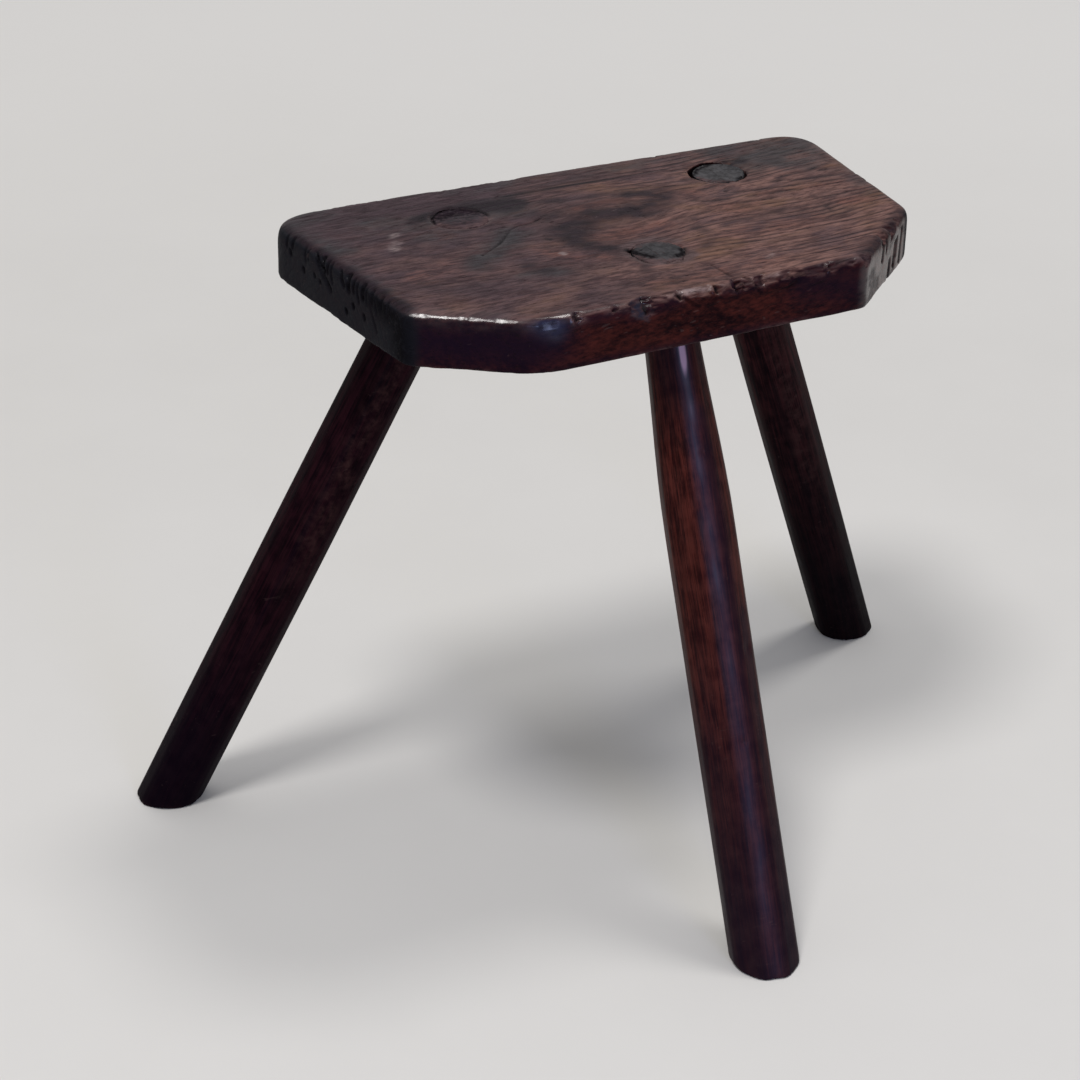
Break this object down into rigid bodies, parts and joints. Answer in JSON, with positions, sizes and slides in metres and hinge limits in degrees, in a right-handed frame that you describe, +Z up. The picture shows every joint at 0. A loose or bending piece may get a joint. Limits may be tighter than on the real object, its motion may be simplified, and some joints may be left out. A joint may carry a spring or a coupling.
{
  "type": "milking stool",
  "caption": "Low milking stool: a thick plank seat with its front corners cut off, on splayed, hand-shaved legs whose wedged tenons show through the top.",
  "frame": {"origin": "on the floor, under the middle of the stool's box", "axes": "+Z up, +X along the long straight rear edge of the seat, towards the right seen from the front, +Y towards the rear"},
  "size_m": [0.5026, 0.3296, 0.36],
  "materials": {
    "seat_wood": "dark stained open-grained plank, waxed and worn",
    "leg_wood": "dark red-brown stain, shaved facets, waxed to a low sheen",
    "wedge_wood": "dark end grain, dry"
  },
  "bodies": {
    "root": {"seat": "seat_wood", "leg_rear_left": "leg_wood", "leg_rear_right": "leg_wood", "leg_front": "leg_wood", "wedge_rear_left": "wedge_wood", "wedge_rear_right": "wedge_wood", "wedge_front": "wedge_wood"}
  },
  "joints": []
}
